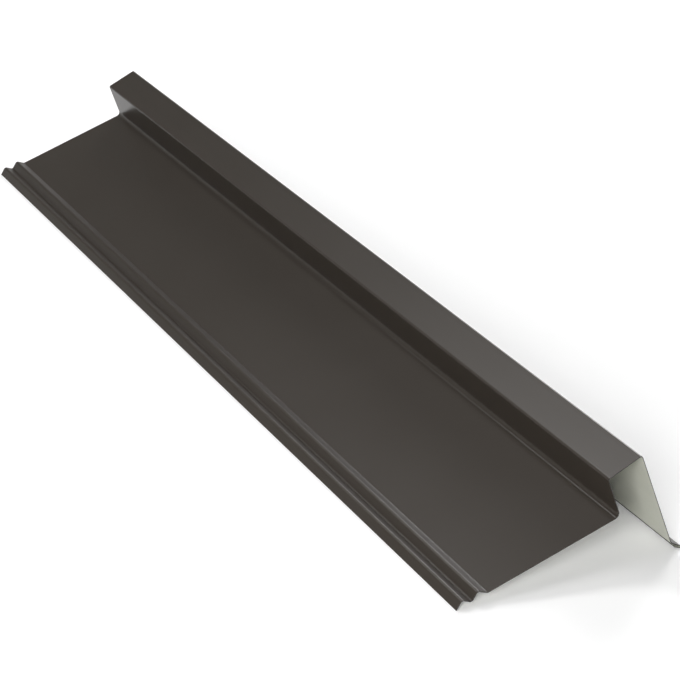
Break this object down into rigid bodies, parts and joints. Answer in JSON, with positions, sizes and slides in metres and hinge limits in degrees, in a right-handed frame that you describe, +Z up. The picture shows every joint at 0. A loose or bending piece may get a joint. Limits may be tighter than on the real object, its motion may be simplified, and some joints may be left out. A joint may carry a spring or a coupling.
{
  "type": "verge trim",
  "caption": "Folded sheet-metal verge trim: ribbed flat pan, riser and shelf that saddle the bargeboard, long fascia and a hemmed drip lip.",
  "frame": {"origin": "on the floor, at the middle of the trim's length and width", "axes": "+X along the trim, +Y from the pan's free edge to the fascia, +Z up; the trim lies at rest on its free edge and its drip lip, so the pan climbs 16.6 degrees towards +Y"},
  "size_m": [1, 0.1842, 0.083],
  "materials": {
    "top_coat": "satin dark grey-brown paint on the weather side, pale grey back coat inside"
  },
  "bodies": {
    "root": {"verge_trim": "top_coat"}
  },
  "joints": []
}
